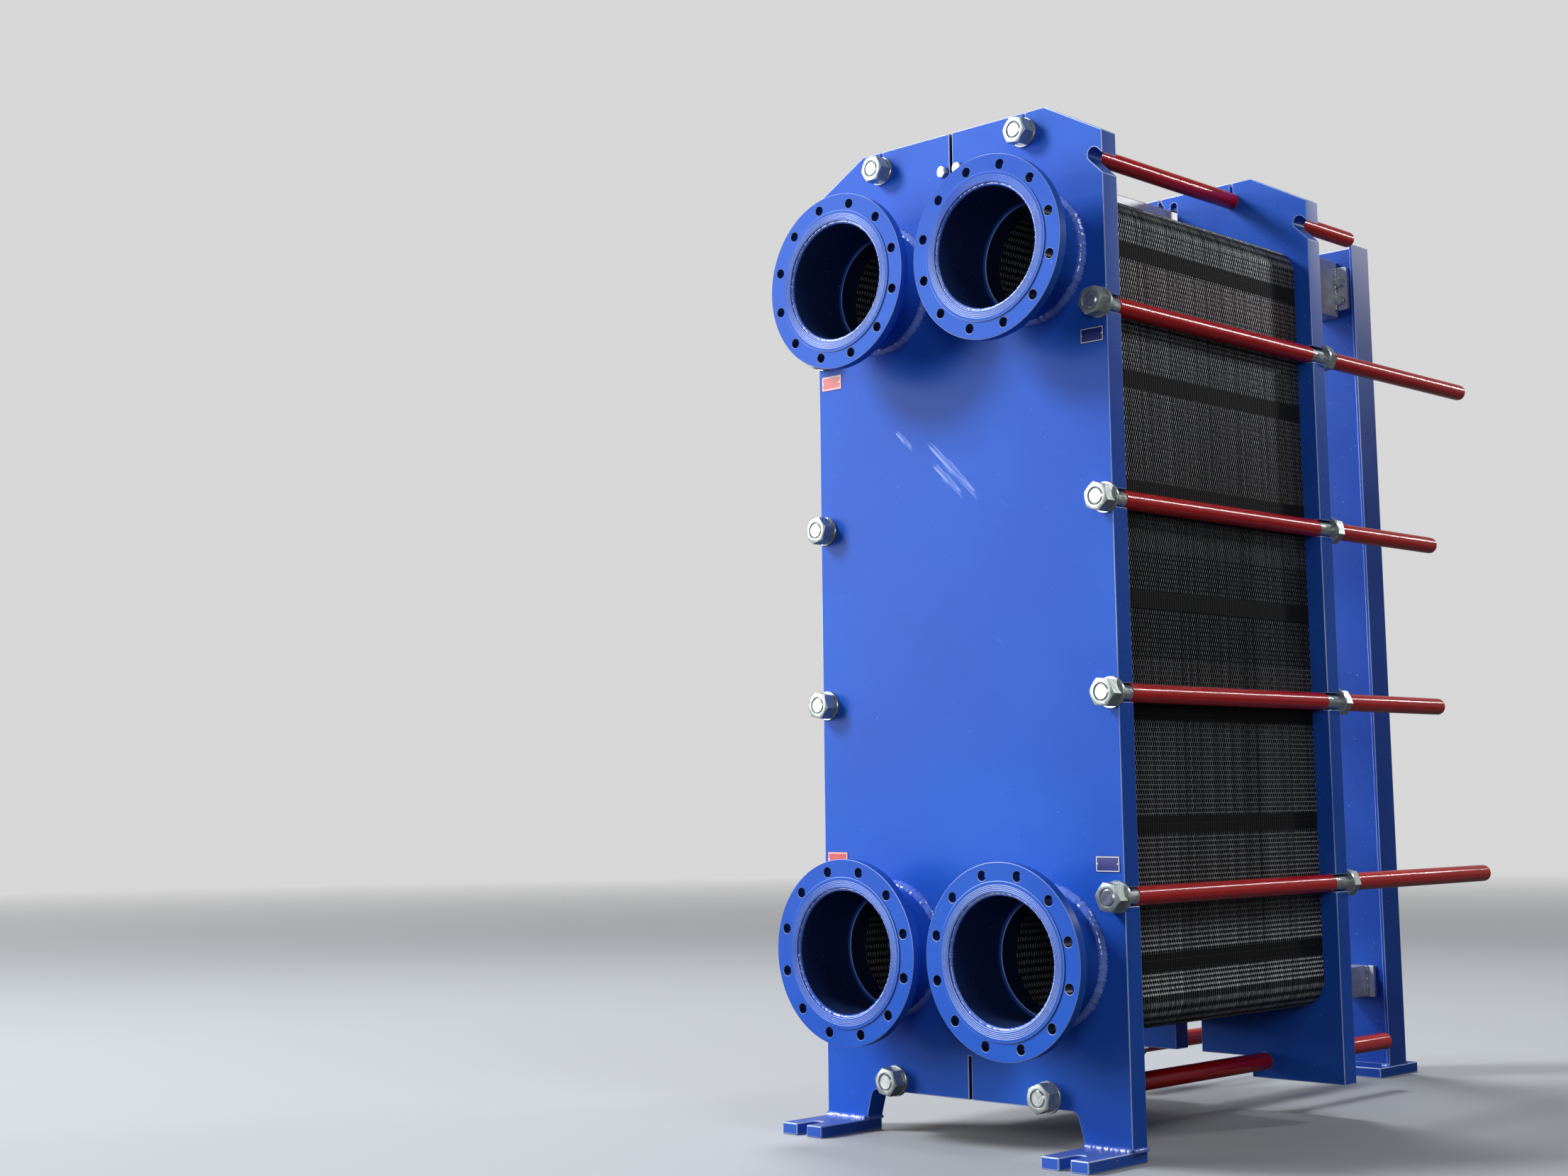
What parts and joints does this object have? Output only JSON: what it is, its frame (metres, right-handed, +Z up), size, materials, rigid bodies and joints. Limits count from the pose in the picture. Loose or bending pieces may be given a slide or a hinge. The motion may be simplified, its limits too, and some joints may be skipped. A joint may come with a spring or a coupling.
{
  "type": "gasketed plate heat exchanger",
  "caption": "Upright plate heat exchanger: a pack of thin plates clamped between two thick plates by tie bolts, with flanged nozzles, top and bottom bars, a rear column and feet.",
  "frame": {"origin": "on the floor, at the middle of the footprint", "axes": "+X to the right as seen from the front, +Y from the frame plate back to the support column, +Z up"},
  "size_m": [0.856, 1.858, 2.193],
  "materials": {
    "blue_paint": "satin",
    "sheet_steel": "bright",
    "gasket_rubber": "matt",
    "rod_steel": "zinc plated",
    "zinc_steel": "zinc plated",
    "red_sleeve": "gloss",
    "bar_grey": "satin",
    "plate_blank": "satin"
  },
  "bodies": {
    "root": {"bar_lugs": "bar_grey", "carrying_bar": "bar_grey", "column_base": "blue_paint", "end_sleeves_long": "red_sleeve", "end_sleeves_short": "red_sleeve", "flange_lower_left": "blue_paint", "flange_lower_right": "blue_paint", "flange_upper_left": "blue_paint", "flange_upper_right": "blue_paint", "foot_left": "blue_paint", "foot_right": "blue_paint", "frame_plate": "blue_paint", "frame_screws": "zinc_steel", "gasket_clips": "gasket_rubber", "guide_bar": "bar_grey", "lug_screws": "zinc_steel", "name_plates": "plate_blank", "nuts_front": "zinc_steel", "nuts_rear": "zinc_steel", "pipe_lower_left": "blue_paint", "pipe_lower_right": "blue_paint", "pipe_upper_left": "blue_paint", "pipe_upper_right": "blue_paint", "plate_pack": "sheet_steel", "pressure_plate": "blue_paint", "rod_sleeves": "red_sleeve", "support_column": "blue_paint", "tie_rod_01": "rod_steel", "tie_rod_02": "rod_steel", "tie_rod_03": "rod_steel", "tie_rod_04": "rod_steel", "tie_rod_05": "rod_steel", "tie_rod_06": "rod_steel", "tie_rod_07": "rod_steel", "tie_rod_08": "rod_steel", "tie_rod_09": "rod_steel", "tie_rod_10": "rod_steel", "tie_rod_11": "rod_steel", "tie_rod_12": "rod_steel", "washers_front": "zinc_steel", "washers_rear": "zinc_steel"}
  },
  "joints": []
}
